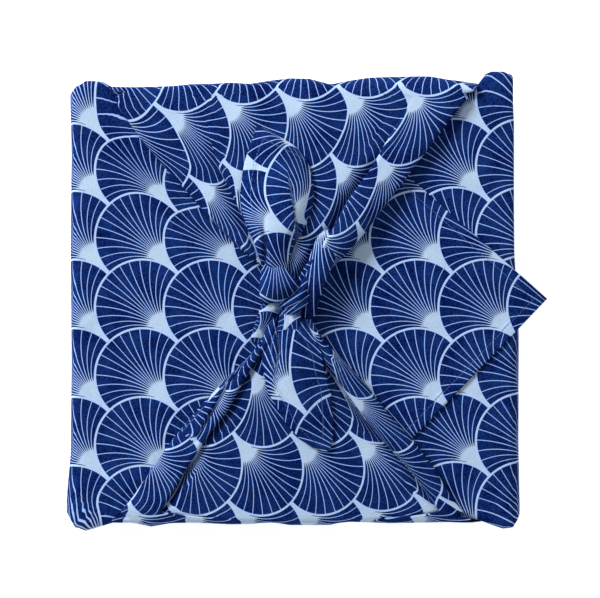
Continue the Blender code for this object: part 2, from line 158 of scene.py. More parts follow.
# The small crease along the middle of the front flap's left-hand fold: its line, its depth, its breadth,
# the cloth that it hides, and from where to where beside its line that cloth goes under.
FRONT_CREASE = ((-64.5, -90.0), (-55.8, -74.0), (-47.9, -60.5), (-40.4, -48.7), (-35.5, -41.0))
CREASE_DEEP = 3.4
CREASE_BROAD = 1.4
CREASE_SPARE = 19.0
CREASE_SIDE = (0.24, -2.16)
ROLL_UNDER = 95.0  # how much cloth lies turned under each side of a tied flap
ROLL_BEGINS = (2.0, 18.0)  # how far in from the edge of the box that turn begins and is full
FLATTENS = 7.0  # how far past the edge of the box a tied flap has its whole section
WALL_BULGE = 2.0  # how far a tied flap's wall stands off the box where it isn't slack
TIE_LONG = 134.0  # how far a tied flap runs over the box, to inside the knot
NO_FLAP = -0.6  # how high a free end's bed counts where it reaches past the side of its flap
UPRIGHT = 0.01  # a narrower stretch of a section counts as upright
# How many steps of cloth lie between the turning points of a tied flap's section, and which of the points
# are the top of its left side, the ends of its two long folds, its middle, and the ends of the creased
# stretch.
SECTION_STEPS = (6, 3, 3, 9, 9, 4, 3, 3, 3, 3, 3, 13, 13, 4, 3, 3, 3, 3, 3, 6, 6, 3, 3, 6)
LEFT_TOP = 3
LEFT_FOLD = (5, 11)
MIDDLE = 12
RIGHT_FOLD = (13, 19)
CREASED = (LEFT_TOP, 9)

# How slack the cloth is on each end and side of the box: (the place along it, how far more it stands off
# there).
BACK_SLACK = (
    (-143, 0.0), (-122, -3.4), (-109, -3.8), (-96, -2.4), (-82, -1.0), (-69, 0.6), (-56, 0.8), (-43, 1.6),
    (-30, 0.8), (-16, 3.0), (-3, 4.6), (10, 4.2), (24, 0.4), (37, 3.0), (50, 5.0), (90, 6.4), (103, 4.8),
    (116, 5.0), (130, 8.6), (143, 4.6),
)
FRONT_SLACK = (
    (-143, 4.6), (-122, 0.4), (-109, -1.0), (-96, 2.2), (-82, -0.8), (-69, -1.4), (-43, 0.2), (-30, 0.0),
    (-16, -1.8), (-3, 0.8), (24, 0.6), (37, -3.4), (50, -2.0), (63, -0.8), (90, -1.8), (103, -3.0),
    (116, -0.4), (130, 3.0), (143, 5.4),
)
LEFT_SLACK = ((-143, 6.0), (-122, 5.8), (-100, 3.7), (-40, 3.1), (40, 3.7), (100, 3.1), (143, 3.8))
RIGHT_SLACK = (
    (-143, 4.6), (-90, 3.8), (-20, 4.0), (20, 1.8), (36, 0.6), (63, -0.1), (129, -0.1), (143, 0.6),
)

# How the cloth puffs out at each corner of the box: the corner's own signs, how far along x and along y,
# where along x that begins and is full, and how strongly the print is gathered in there.
Ear = namedtuple("Ear", "side end puff_x puff_y begin full gathered")
EARS = (
    Ear(-1, 1, 0.5, 5.5, 117, 130, 0.0),
    Ear(1, 1, -0.6, 13.5, 117, 130, 0.0),
    Ear(-1, -1, 1.2, 9.0, 108, 150, 0.7),
    Ear(1, -1, 0.5, 8.8, 112, 147, 0.0),
)
# Between which heights an ear opens, between which distances along y its side and its end puff out, and
# between which distances along x it stops again.
EAR_RISE = (16, 30)
EAR_SIDE = (120, 134)
EAR_END = (132, 138)
EAR_STOP = (154, 146)
EAR_SPARE = 0.35  # the share of the puff that its print follows
# Where along x a gathered corner draws its print to, over what breadth, and where along y that grows.
GATHERED_TO = 139.5
GATHERED_BROAD = 14.0
GATHERED_END = (126, 146)
# The line along which the left flap's print is drawn towards the front by the flap tied over it, how far
# and how broadly, and where along y that fades at the front and at the back.
DRAWN_LINE = (-114.4, 126.5, -56.0, 58.0)
DRAWN_BY = 9.5
DRAWN_BROAD = 18.0
DRAWN_FRONT = (38, 58)
DRAWN_BACK = (134, 116)
# How far the base's print is drawn towards each tied flap, and where along y that grows.
BASE_TO_BACK = 17.5
BASE_TO_FRONT = -12.0
BASE_DRAWN = (30, 130)
SETTLES = 26.0  # the stretch of a wall over which a flap's print joins the base's


def ease(share):
    """0 to 1, with no kink at either end."""
    share = np.clip(share, 0, 1)
    return share * share * (3 - 2 * share)


def between(value, start, end):
    """0 where value is at start, 1 where it is at end, eased between them."""
    return ease((value - start) / (end - start))


def column(rows, name, at):
    """A named column of a table of rows, read between them by the distance from the middle of the wrap."""
    keys = [row.y for row in rows][::-1]
    return np.interp(at, keys, [getattr(row, name) for row in rows][::-1])


def beside(points, x, y):
    """(signed distance to a line of points, positive on its +X side, share of the way along it)."""
    line = np.array(points, float)
    best = np.full(np.shape(x), 1e9)
    side = np.zeros_like(best)
    along = np.zeros_like(best)
    for number, (start, run) in enumerate(zip(line[:-1], np.diff(line, axis=0))):
        share = np.clip(((x - start[0]) * run[0] + (y - start[1]) * run[1]) / (run**2).sum(), 0, 1)
        off_x = x - start[0] - share * run[0]
        off_y = y - start[1] - share * run[1]
        off = np.hypot(off_x, off_y)
        nearer = off < best
        best = np.where(nearer, off, best)
        side = np.where(nearer, np.sign(off_x), side)
        along = np.where(nearer, (number + share) / (len(line) - 1), along)
    return best * side, along


def over_edge(distance, edge, level):
    """(outwards, z) of a layer that leaves the base, goes up a wall and turns in over the top."""
    wall = level - BASE - 2 * BEND
    low = np.minimum(distance, QUARTER) / BEND
    high = np.clip((distance - QUARTER - wall) / BEND, 0, math.pi / 2)
    inwards = np.maximum(0.0, distance - 2 * QUARTER - wall)
    outwards = edge - BEND + BEND * np.sin(low) - BEND * (1 - np.cos(high)) - inwards
    z = BASE + BEND - BEND * np.cos(low) + np.clip(distance - QUARTER, 0, wall) + BEND * np.sin(high)
    return outwards, z


def edge_distance(level):
    """How far along its way over_edge passes the upper edge of the box."""
    return BEND * math.pi * 0.75 + level - BASE - 2 * BEND


def side_place(flap, nominal, distance):
    """A side flap's points: where they lie, and where on the cut cloth they come from."""
    past_edge = distance - edge_distance(flap.level)
    outwards, z = over_edge(distance, SIDE_OUT, flap.level)
    back_hem = flap.tip_y + flap.back_slope * (flap.reach - past_edge)
    front_hem = flap.tip_y - flap.front_slope * (flap.reach - past_edge)
    back = np.minimum(CORNER_Y, back_hem)
    front = np.maximum(-CORNER_Y, front_hem)
    share = (np.clip(nominal, -CORNER_Y, CORNER_Y) + CORNER_Y) / (2 * CORNER_Y)
    low = np.maximum(0.0, 1 - distance / QUARTER)
    plain_y = front + (back - front) * share
    y = plain_y * (1 + low * (TIE_OUT - TUCK_OUT) / CORNER_Y)
    drooped = np.maximum(0.0, past_edge - 2 * SIDE_OUT) / (flap.reach - 2 * SIDE_OUT)
    z = z - flap.droop * drooped**2
    spare = np.maximum(0.0, np.where(nominal > 0, back_hem, -front_hem) - CORNER_Y)
    beyond = np.clip(np.abs(nominal) - CORNER_Y, 0, spare)
    out, z, end_y = turned_down(flap, distance, outwards, z, beyond)
    y = np.where(beyond > 0, np.copysign(end_y, nominal), y)
    cut_x = flap.sign * (CORNER_X + distance) + flap.shift[0]
    cut_y = np.where(beyond > 0, np.copysign(CORNER_Y + beyond, nominal), plain_y)
    from_back = (back_hem - cut_y) / math.hypot(1, flap.back_slope)
    from_front = (cut_y - front_hem) / math.hypot(1, flap.front_slope)
    cut_y = cut_y + flap.shift[1]
    cut_x, cut_y = settle(cut_x, cut_y, flap.sign * CORNER_X, np.clip(nominal, -TIE_OUT, TIE_OUT), distance)
    height = np.clip(distance / edge_distance(flap.level), 0, 1)
    slack = np.interp(y, *zip(*(LEFT_SLACK if flap.sign < 0 else RIGHT_SLACK)))
    out = out + slack * wall_curve(height) * (beyond <= 0)
    x, y, cut_x, cut_y = puffed(flap, flap.sign * out, y, z, cut_x, cut_y, past_edge)
    if flap is LEFT_FLAP:
        cut_y = cut_y + drawn_forwards(x, y)
    return x, y, z, cut_x, cut_y, np.minimum(from_back, from_front)


def turned_down(flap, distance, outwards, z, beyond):
    """(outwards, z, distance along y) of a side flap, turned down where it runs past the end of the box."""
    past_edge = distance - edge_distance(flap.level)
    low = np.maximum(0.0, 1 - distance / QUARTER)
    turn = np.minimum(beyond / BEND, (1 - low) * math.pi / 2)
    over = np.clip((past_edge + QUARTER / 2) / BEND, 0, math.pi / 2)
    out = outwards - BEND * np.cos(over) * (1 - np.cos(turn))
    z = z - BEND * np.sin(over) * (1 - np.cos(turn))
    tab = np.maximum(0.0, beyond - QUARTER)
    slant = np.minimum(1.0, distance / TAB_SLANT) * np.clip((-past_edge - QUARTER / 2) / EAR_LONG, 0, 1)
    out = out - np.where(past_edge < 0, tab * slant, 0.0)
    begun = np.maximum(0.0, past_edge - QUARTER / 2)
    hanging = np.where(past_edge < 0, 0.0, tab * np.minimum(1.0, begun / TAB_SLANT))
    layer = flap.layers * TUCK_STEP * between(begun, 0, TAB_OVER) * np.sin(turn)
    layer = layer + EAR_OUT * np.sin(math.pi * np.minimum(1.0, begun / EAR_LONG)) * hanging / FLAP_TUCK
    layer = np.where(past_edge < 0, 0.0, layer)
    return out, z - hanging, CORNER_Y + low * (TIE_OUT - TUCK_OUT) + BEND * np.sin(turn) + layer


def wall_curve(height):
    """How a wall of slack cloth bulges, by the share of its height: most of it above the middle."""
    return np.sin(math.pi * height**1.5) ** 0.8


def puffed(flap, x, y, z, cut_x, cut_y, past_edge):
    """A side flap's points with the cloth puffed out at the corners of the box."""
    for ear in EARS:
        if ear.side == flap.sign:
            high = between(z, *EAR_RISE)
            x = x + ear.side * ear.puff_x * high * between(ear.end * y, *EAR_SIDE) * (past_edge < QUARTER)
            span = between(np.abs(x), ear.begin, ear.full) * between(np.abs(x), *EAR_STOP)
            puff = ear.end * ear.puff_y * high * between(ear.end * y, *EAR_END) * span
            y = y + puff
            cut_y = cut_y + EAR_SPARE * puff
            off_x = x - ear.side * GATHERED_TO
            drawn = np.exp(-((off_x / GATHERED_BROAD) ** 2)) * between(ear.end * y, *GATHERED_END)
            cut_x = cut_x + ear.gathered * off_x * high * drawn
    return x, y, cut_x, cut_y


def drawn_forwards(x, y):
    """How far the left flap's print is drawn towards the front by the flap that is tied over it."""
    from_x, from_y, to_x, to_y = DRAWN_LINE
    long = math.hypot(to_x - from_x, to_y - from_y)
    off = ((x - from_x) * (to_y - from_y) - (y - from_y) * (to_x - from_x)) / long
    drawn = np.exp(-((off / DRAWN_BROAD) ** 2))
    return DRAWN_BY * drawn * between(y, *DRAWN_BACK) * between(y, *DRAWN_FRONT)


def base_cut(x, y):
    """Where on the cut cloth a point of the base lies, its print drawn askew towards each tied flap."""
    drawn = between(np.abs(y), *BASE_DRAWN)
    over = np.where(y > 0, BACK_FLAP.root[0] - BACK_FLAP.start_x, FRONT_FLAP.root[0] - FRONT_FLAP.start_x)
    up = np.where(y > 0, BASE_TO_BACK, BASE_TO_FRONT)
    return x + drawn * over, y + drawn * up


def base_place(x, y):
    """The base's points."""
    return x, y, BASE, *base_cut(x, y), NO_HEM


def settle(cut_x, cut_y, base_x, base_y, distance):
    """Joins a flap's print to the base's over the first stretch of its wall."""
    start_x, start_y = base_cut(base_x, base_y)
    left = 1 - between(distance, 0, SETTLES)
    return cut_x + (start_x - cut_x[..., :1]) * left, cut_y + (start_y - cut_y[..., :1]) * left


def long_fold(row, name, side):
    """The turning points of a tied flap's long fold, from left to right. side is the sign of its high side.

    From the flap's level the cloth goes down into the valley, in under the fold, up and over its ridge.
    """
    at, deep, high, wide = (row[name + "_" + part] for part in ("fold", "deep", "high", "wide"))
    under = 0.9 * np.minimum(deep, 3.0)
    points = [
        (at - side * wide, 0.0),
        (at - side * 0.35 * wide, -0.45 * deep),
        (at + side * 0.3 * under, -deep),
        (at + side * under, -0.75 * deep),
        (at, 0.55 * high - 0.1 * deep),
        (at + side * (1.2 + 0.4 * under), high),
        (at + side * (4.5 + 0.6 * high), 0.8 * high),
    ]
    return points[::side]


def section(flap, out):
    """A tied flap's section at distances from the middle: (its turning points' x, their height, the row)."""
    row = {name: column(flap.rows, name, out) for name in TieRow._fields[1:]}
    left, right, roll = row["left"], row["right"], row["roll"]
    begun = between(TIE_OUT - out, *ROLL_BEGINS)
    reach = np.minimum(ROLL_UNDER, (right - left) / 2 - roll - 1.0) * begun
    left_fold = long_fold(row, "left", flap.left_side)
    right_fold = long_fold(row, "right", flap.right_side)
    points = [
        (left + roll + reach, -2 * roll),
        (left + roll, -2 * roll),
        (left, -roll),
        (left + roll, 0.0),
        ((left + roll + left_fold[0][0]) / 2, 0.5 * left_fold[0][1] + 0.3 * begun),
        *left_fold,
        ((row["left_fold"] + row["right_fold"]) / 2, 0.4 * begun),
        *right_fold,
        ((right - roll + right_fold[-1][0]) / 2, 0.7 * right_fold[-1][1] + 0.3 * begun),
        (right - roll, 0.0),
        (right, -roll),
        (right - roll, -2 * roll),
        (right - roll - reach, -2 * roll),
    ]
    x = np.stack([np.broadcast_to(point[0], np.shape(out)) for point in points])
    z = np.stack([np.broadcast_to(point[1], np.shape(out)) for point in points])
    return x, z, row


def tie_top(flap, x, y):
    """The height of a tied flap's upper surface, and a little below its level where it has none."""
    shape = np.broadcast(x, y).shape
    x = np.broadcast_to(x, shape)
    places, heights, row = section(flap, np.broadcast_to(np.abs(y), shape))
    best = np.full(shape, NO_FLAP)
    for first in range(LEFT_TOP, len(places) - LEFT_TOP - 1):
        run = places[first + 1] - places[first]
        share = (x - places[first]) / np.where(np.abs(run) < UPRIGHT, UPRIGHT, run)
        here = heights[first] + (heights[first + 1] - heights[first]) * share
        best = np.where((share >= 0) & (share <= 1), np.maximum(best, here), best)
    return TIE_LEVEL + 2 * row["roll"] + row["lift"] + best


def soften(values, times):
    """Rounds columns of values off by averaging each with its neighbours, the ends kept."""
    values = np.array(values, float)
    for _ in range(times):
        values[1:-1] = values[1:-1] / 2 + (values[:-2] + values[2:]) / 4
    return values


def section_step(point):
    """How many steps of cloth lie before a turning point of a tied flap's section."""
    return sum(SECTION_STEPS[:point])


def step_by_step(steps, places, heights):
    """(x, height) of each step of cloth across a tied flap's section."""
    before = np.array([section_step(point) for point in range(len(places))])
    first = np.clip(np.searchsorted(before, steps, side="right") - 1, 0, len(places) - 2)
    share = ((steps - before[first]) / np.array(SECTION_STEPS)[first])[:, None]
    x = places[first] + (places[first + 1] - places[first]) * share
    rise = heights[first] + (heights[first + 1] - heights[first]) * share
    return x, rise


def tie_place(flap, steps, distance):
    """A tied flap's points, step by step across its whole section."""
    top = flap.rows[0]
    distance = distance[0]
    level = TIE_LEVEL + 2 * top.roll
    edge = edge_distance(level)
    outwards, z = over_edge(distance, TIE_OUT, level)
    places, heights, row = section(flap, np.minimum(outwards, TIE_OUT - BEND * 0.3))
    x, rise = step_by_step(steps[:, 0], places, heights)
    run = np.hypot(np.diff(x, axis=0), np.diff(rise, axis=0))
    spread = np.concatenate([np.zeros((1, run.shape[1])), np.cumsum(run, axis=0)])
    origin = section_step(MIDDLE)
    spread = (spread - spread[origin] + x[origin] - flap.start_x) / row["gather"]
    not_yet = 1 - between(steps, *map(section_step, LEFT_FOLD))
    done = between(steps, *map(section_step, RIGHT_FOLD))
    spread = spread - row["left_spare"] * not_yet + row["right_spare"] * done
    x = soften(x, 2)
    rise = soften(rise, 2)
    height = np.clip(distance / edge, 0, 1)
    even_share = np.linspace(-1, 1, len(steps))[:, None]
    flatten = between(distance, edge, edge + FLATTENS)
    start_x = even_share * CORNER_X
    wall_x = start_x + (np.interp(even_share, (-1, 1), (top.left, top.right)) - start_x) * height
    x = x * flatten + wall_x * (1 - flatten)
    z = z + (row["lift"] + 2 * (row["roll"] - top.roll)) * (flatten > 0) + rise * flatten
    slack = np.interp(x, *zip(*(BACK_SLACK if flap.sign > 0 else FRONT_SLACK)))
    bulge = (WALL_BULGE + slack) * wall_curve(height) * (1 - even_share**8)
    y = flap.sign * (outwards + bulge)
    flat_out = TIE_OUT - BEND + 2 * QUARTER + level - BASE - 2 * BEND - distance
    on_wall = (wall_x - flap.start_x) * (1 + (1 / top.gather - 1) * height)
    on_wall = on_wall + (top.right_spare * done - top.left_spare * not_yet) * height
    cut_x = flap.root[0] + on_wall * (1 - flatten) + spread * flatten
    slant = np.interp(x, *zip(*flap.slant))
    run_on = np.interp(flat_out, *zip(*flap.run_on)) * done
    run_on = run_on + np.interp(flat_out, *zip(*flap.left_run_on)) * not_yet * flatten
    cut_y = flap.root[1] + flap.sign * (slant - flat_out + run_on)
    if flap is FRONT_FLAP:
        off, along = beside(FRONT_CREASE, x, y)
        begin, end = map(section_step, CREASED)
        inside = np.sin(math.pi * along) ** 0.5 * (steps > begin) * (steps < end)
        z = z - CREASE_DEEP * np.exp(-((off / CREASE_BROAD) ** 2)) * inside
        cut_x = cut_x - CREASE_SPARE * between(off, *CREASE_SIDE) * inside
    cut_x, cut_y = settle(cut_x, cut_y, start_x, flap.sign * (TIE_OUT - BEND), distance)
    return x, y, z, cut_x, cut_y, NO_HEM


def smooth(table, at):
    """Rows of a table read smoothly between them, at counting them from 0."""
    table = np.array(table, float)
    at = np.clip(at, 0, len(table) - 1)
    first = np.minimum(at.astype(int), len(table) - 2)
    share = (at - first)[..., None]
    square = share**2
    cube = share**3
    slopes = np.gradient(table, axis=0)
    start = (2 * cube - 3 * square + 1) * table[first] + (cube - 2 * square + share) * slopes[first]
    end = (3 * square - 2 * cube) * table[first + 1] + (cube - square) * slopes[first + 1]
    return start + end


# Where the print lies on the free ends and on the knot: a spot that a fan's root comes to, the root's
# place on the cut cloth, the way that the fan opens there in degrees, and how far the cloth is drawn in
# across and along it.
Print = namedtuple("Print", "x y root opens across along")
BACK_ROOT = fan_root(0, 9)
FRONT_ROOT = fan_root(-1, -11)
BACK_PRINT = Print(1.0, 46.7, BACK_ROOT, 159.7, 1.0, 1.0)
FRONT_PRINT = Print(7.4, -71.5, FRONT_ROOT, 138.0, 1.0, 1.0)

# The free ends, from the knot outwards: both edges of a row, its height above the flap, how far it is
# rounded and where across the row that is highest, how far the cloth is gathered, where its fold lies, how
# deep that is, the cloth that it hides, the cloth that turns under along the right-hand edge, and a crease
# further left with its depth and its hidden cloth.
EndRow = namedtuple(
    "EndRow",
    "left_x left_y right_x right_y above crown ridge gather"
    " fold deep spare under crease crease_deep crease_spare",
)
BACK_END = (
    EndRow(-15.0, 8.0, -7.0, 7.0, 2.2, 1.0, 0.5, 0.5, 0.9, 1.5, 4.0, 0.0, 0.12, 3.0, 6.0),
    EndRow(-21.0, 24.0, -4.5, 24.5, 2.2, 3.0, 0.55, 0.62, 0.97, 2.0, 6.0, 0.0, 0.14, 7.0, 9.0),
    EndRow(-25.5, 38.0, 1.0, 40.5, 2.2, 5.0, 0.65, 0.8, 0.98, 2.5, 12.0, 0.0, 0.24, 7.0, 7.0),
    EndRow(-32.0, 53.5, 8.0, 53.5, 2.1, 9.5, 0.77, 1.0, 0.82, 1.5, 28.0, 7.0, 0.3, 1.0, 2.0),
    EndRow(-35.2, 67.5, 12.2, 67.0, 2.1, 10.5, 0.71, 1.0, 0.72, 1.5, 18.0, 7.0, 0.4, 0.0, 0.0),
    EndRow(-35.0, 80.0, 12.4, 80.0, 2.1, 8.5, 0.68, 1.0, 0.67, 1.0, 5.0, 11.0, 0.4, 0.0, 0.0),
    EndRow(-32.5, 95.0, 8.5, 94.0, 2.0, 4.5, 0.64, 1.0, 0.66, 0.5, 0.0, 13.0, 0.4, 0.0, 0.0),
    EndRow(-27.5, 110.0, 0.0, 104.5, 2.0, 2.0, 0.55, 1.0, 0.66, 0.0, 0.0, 16.0, 0.4, 0.0, 0.0),
    EndRow(-25.0, 117.5, -20.5, 116.6, 2.0, 0.5, 0.5, 1.0, 0.66, 0.0, 0.0, 6.0, 0.4, 0.0, 0.0),
)
FRONT_END = (
    EndRow(-14.0, -6.0, 6.0, -8.0, 2.2, 1.0, 0.5, 0.6, 0.9, 0.0, 0.0, 0.0, 0.25, 1.5, 6.0),
    EndRow(-20.0, -20.0, 11.0, -19.0, 2.2, 3.5, 0.5, 0.75, 0.9, 0.0, 0.0, 0.0, 0.3, 3.5, 8.0),
    EndRow(-21.8, -30.0, 17.0, -30.0, 2.2, 4.5, 0.5, 0.9, 0.9, 0.0, 0.0, 0.0, 0.3, 4.0, 8.0),
    EndRow(-20.3, -42.5, 20.0, -44.0, 2.2, 4.5, 0.5, 1.0, 0.9, 0.0, 0.0, 0.0, 0.2, 2.5, 4.0),
    EndRow(-17.6, -57.0, 23.7, -56.5, 2.1, 4.0, 0.5, 1.0, 0.9, 0.0, 0.0, 0.0, 0.1, 0.0, 0.0),
    EndRow(-11.4, -67.5, 24.8, -67.5, 2.1, 3.5, 0.5, 1.0, 0.9, 0.0, 0.0, 0.0, 0.1, 0.0, 0.0),
    EndRow(-4.5, -79.5, 25.4, -80.0, 2.0, 2.5, 0.5, 1.0, 0.9, 0.0, 0.0, 0.0, 0.1, 0.0, 0.0),
    EndRow(7.8, -91.5, 24.8, -91.0, 2.0, 1.0, 0.5, 1.0, 0.9, 0.0, 0.0, 0.0, 0.1, 0.0, 0.0),
    EndRow(20.0, -97.0, 22.8, -96.4, 2.0, 0.3, 0.5, 1.0, 0.9, 0.0, 0.0, 0.0, 0.1, 0.0, 0.0),
)
# A spot on the top hem of the back end, and which way is square to that hem.
BACK_END_HEM = (-20.5, 116.6, 0.439, 0.899)
FOLD_SHARP = 0.8  # breadth of the edge of a free end's fold
FOLD_RUN = 9.0  # how far past that edge the cloth takes to come up again
END_CREASE_BROAD = 1.6  # breadth of the crease further left
UNDER_FROM = 0.45  # where across a free end its right-hand edge begins to turn under
UNDER_DRAWS = 0.16  # how much the turned cloth also draws the print inwards
KNOT_DRAWS = 0.25  # how much more cloth than length there is from the print's spot to the knot
RIDGE_STRAIGHTENS = 3.2  # how much straighter the far side falls, the further over the ridge lies


def printed(at, x, y):
    """Where on the cut cloth points of a free end or a strand lie, by where its print lies."""
    axis = math.radians(at.opens)
    off_x, off_y = x - at.x, y - at.y
    tall = (off_x * math.cos(axis) + off_y * math.sin(axis)) / at.along
    wide = (off_x * math.sin(axis) - off_y * math.cos(axis)) / at.across
    return at.root[0] + (tall - wide) / math.sqrt(2), at.root[1] + (tall + wide) / math.sqrt(2)


def end_place(rows, flap, at, share, along):
    """A free end's points. share runs from its left side to its right one, along counts its rows."""
    row = EndRow(*np.moveaxis(smooth(rows, along), -1, 0))
    x = row.left_x + (row.right_x - row.left_x) * share
    y = row.left_y + (row.right_y - row.left_y) * share
    width = row.right_x - row.left_x
    roundness = 2 - RIDGE_STRAIGHTENS * (row.ridge - 0.5)
    falling = (np.maximum(0, share - row.ridge) / (1 - row.ridge)) ** roundness
    crowned = 1 - (np.maximum(0, 1 - share / row.ridge) ** 2 + falling)
    past = (share - row.fold) * width
    folded = ease(past / FOLD_SHARP + 0.5)
    creased = (share - row.crease) * width
    dip = row.deep * np.exp(-np.maximum(past, 0) / FOLD_RUN) * folded
    dip = dip + row.crease_deep * np.exp(-((creased / END_CREASE_BROAD) ** 2))
    z = tie_top(flap, x, y) + row.above + (row.crown - dip) * crowned
    turned = np.maximum(0, (share - UNDER_FROM) / (1 - UNDER_FROM)) ** 1.6
    hidden = row.spare * folded + row.under * turned - row.crease_spare * between(creased, 1, -1)
    drawn = UNDER_DRAWS * row.under * turned + KNOT_DRAWS * np.maximum(0, flap.sign * (at.y - y))
    middle = (row.left_x + row.right_x) / 2
    cut_x, cut_y = printed(at, middle + (x - middle) / row.gather, y)
    hem = share * width
    if flap is BACK_FLAP:
        from_x, from_y, slope_x, slope_y = BACK_END_HEM
        hem = np.minimum(hem, (from_x - x) * slope_x + (from_y - y) * slope_y)
    else:
        hem = np.minimum(hem, (1 - share) * width)
    return x, y, z, cut_x - hidden, cut_y - drawn, hem


def even(*stops):
    """Even steps between stops: even(0, (10, 2), (40, 3)) is 0, 5, 10, 20, 30, 40."""
    found = [float(stops[0])]
    for stop, count in stops[1:]:
        found += [float(value) for value in np.linspace(found[-1], stop, count + 1)[1:]]
    return np.array(found)


def lay(bm, across, along, place, turned_over=False):
    """Adds a patch of cloth: a grid whose points go where place(across, along) says."""
    spots = np.stack(np.broadcast_arrays(*place(across[:, None], along[None, :])), axis=-1) * MM
    cut = bm.verts.layers.float_vector["cut"]
    grid = bmesh.ops.create_grid(bm, x_segments=len(across) - 1, y_segments=len(along) - 1, size=0.5)
    faces = set()
    for vert in grid["verts"]:
        i = round((vert.co.x + 0.5) * (len(across) - 1))
        j = round((vert.co.y + 0.5) * (len(along) - 1))
        spot = spots[i, j]
        vert.co = spot[:3]
        vert[cut] = spot[3:]
        faces.update(vert.link_faces)
    if turned_over:
        bmesh.ops.reverse_faces(bm, faces=list(faces))


# The knot's strands. Each row is a strand's middle, its half width and half thickness. A strand also has a
# number of tucks that run along it, their depth, and its print.
StrandRow = namedtuple("StrandRow", "x y z broad thick")
Strand = namedtuple("Strand", "rows tucks tuck_depth print")
TOP_LOOP = Strand(
    rows=(
        StrandRow(-15.5, 28.2, 44.0, 4.5, 2.5),
        StrandRow(-14.6, 22.9, 50.5, 7.5, 3.5),
        StrandRow(-12.3, 16.2, 54.5, 11.0, 4.2),
        StrandRow(-10.3, 10.3, 55.5, 13.0, 4.4),
        StrandRow(-9.0, 7.2, 52.0, 13.8, 4.6),
        StrandRow(-8.8, 6.4, 46.0, 13.0, 4.6),
        StrandRow(-9.0, 7.0, 41.0, 11.0, 4.4),
    ),
    tucks=9,
    tuck_depth=0.35,
    print=Print(-14.5, 50.3, FRONT_ROOT, 276.0, 0.6, 0.75),
)
SECOND_ROLL = Strand(
    rows=(
        StrandRow(-10.5, 0.6, 46.0, 2.4, 2.6),
        StrandRow(-7.5, 0.4, 50.5, 2.8, 3.0),
        StrandRow(-3.0, 1.4, 52.0, 3.0, 3.2),
        StrandRow(2.0, 5.0, 52.5, 3.0, 3.4),
        StrandRow(5.8, 11.0, 51.0, 3.0, 3.4),
        StrandRow(7.6, 17.5, 47.0, 2.6, 3.0),
        StrandRow(8.0, 21.0, 43.0, 2.4, 2.6),
    ),
    tucks=1,
    tuck_depth=0.0,
    print=Print(-41.7, -27.5, FRONT_ROOT, 42.0, 0.9, 1.15),
)
THIRD_ROLL = Strand(
    rows=(
        StrandRow(-9.0, -5.0, 45.0, 2.6, 2.8),
        StrandRow(-5.0, -4.2, 49.0, 3.0, 3.2),
        StrandRow(0.5, -2.0, 50.5, 3.2, 3.6),
        StrandRow(5.8, 2.8, 49.5, 3.4, 3.8),
        StrandRow(9.2, 8.6, 47.0, 3.2, 3.6),
        StrandRow(10.4, 14.0, 43.0, 2.8, 3.0),
    ),
    tucks=2,
    tuck_depth=0.5,
    print=Print(-38.0, -33.0, FRONT_ROOT, 41.0, 0.9, 1.15),
)
RIGHT_STRAND = Strand(
    rows=(
        StrandRow(23.5, 47.0, 42.0, 7.0, 3.4),
        StrandRow(20.3, 36.0, 48.3, 8.0, 4.0),
        StrandRow(16.0, 24.0, 49.0, 7.5, 4.2),
        StrandRow(12.6, 12.0, 48.5, 6.3, 4.2),
        StrandRow(10.5, 0.0, 45.5, 4.8, 3.8),
        StrandRow(8.0, -9.0, 42.0, 4.2, 3.0),
    ),
    tucks=3,
    tuck_depth=0.4,
    print=Print(22.5, 79.0, BACK_ROOT, 255.0, 0.9, 1.52),
)
LEFT_STRAND = Strand(
    rows=(
        StrandRow(-25.0, -25.0, 41.0, 4.5, 3.0),
        StrandRow(-20.5, -14.0, 45.5, 5.5, 3.8),
        StrandRow(-18.0, -4.0, 48.5, 4.6, 3.8),
        StrandRow(-12.0, -0.5, 48.5, 4.2, 3.8),
        StrandRow(-2.0, 0.0, 45.0, 4.0, 3.4),
    ),
    tucks=2,
    tuck_depth=0.4,
    print=Print(-22.5, -4.5, BACK_ROOT, 20.0, 0.42, 0.42),
)
UNDER_STRAND = Strand(
    rows=(
        StrandRow(-2.0, -2.0, 44.0, 6.5, 4.0),
        StrandRow(-3.0, -9.0, 48.0, 7.0, 4.2),
        StrandRow(-4.0, -16.0, 48.5, 7.0, 4.0),
        StrandRow(-5.0, -24.0, 46.0, 6.5, 3.4),
        StrandRow(-6.0, -32.0, 42.0, 6.0, 2.6),
    ),
    tucks=2,
    tuck_depth=0.9,
    print=Print(-8.5, -20.5, BACK_ROOT, 66.0, 0.4, 0.62),
)
STRANDS = (TOP_LOOP, SECOND_ROLL, THIRD_ROLL, RIGHT_STRAND, LEFT_STRAND, UNDER_STRAND)
# Where round its middle a strand's cloth begins, and how far round it goes, in half turns.
STRAND_FROM = -0.3
STRAND_ROUND = 1.6
A_LITTLE = 0.05  # of a row, along which a strand's direction is measured


def strand_place(strand, around, along):
    """A strand's points: around goes from 0 to 1 over its back, from one lower edge to the other."""
    along = along + 0 * around
    rows = smooth(strand.rows, along)
    middle, broad, thick = rows[..., :3], rows[..., 3], rows[..., 4]
    run = (smooth(strand.rows, along + A_LITTLE) - smooth(strand.rows, along - A_LITTLE))[..., :3]
    run = run / np.linalg.norm(run, axis=-1, keepdims=True)
    side = np.cross(run, (0.0, 0.0, 1.0))
    side = side / np.linalg.norm(side, axis=-1, keepdims=True)
    up = np.cross(side, run)
    angle = math.pi * (STRAND_FROM + STRAND_ROUND * around)
    tucked = strand.tuck_depth * (1 - np.abs(np.sin(math.pi * strand.tucks * around)) ** 0.6)
    over = ((broad - tucked) * np.cos(angle))[..., None] * side
    rise = ((thick - tucked) * np.sin(angle))[..., None] * up
    x, y, z = np.moveaxis(middle + over + rise, -1, 0)
    return x, y, z, *printed(strand.print, x, y), NO_HEM


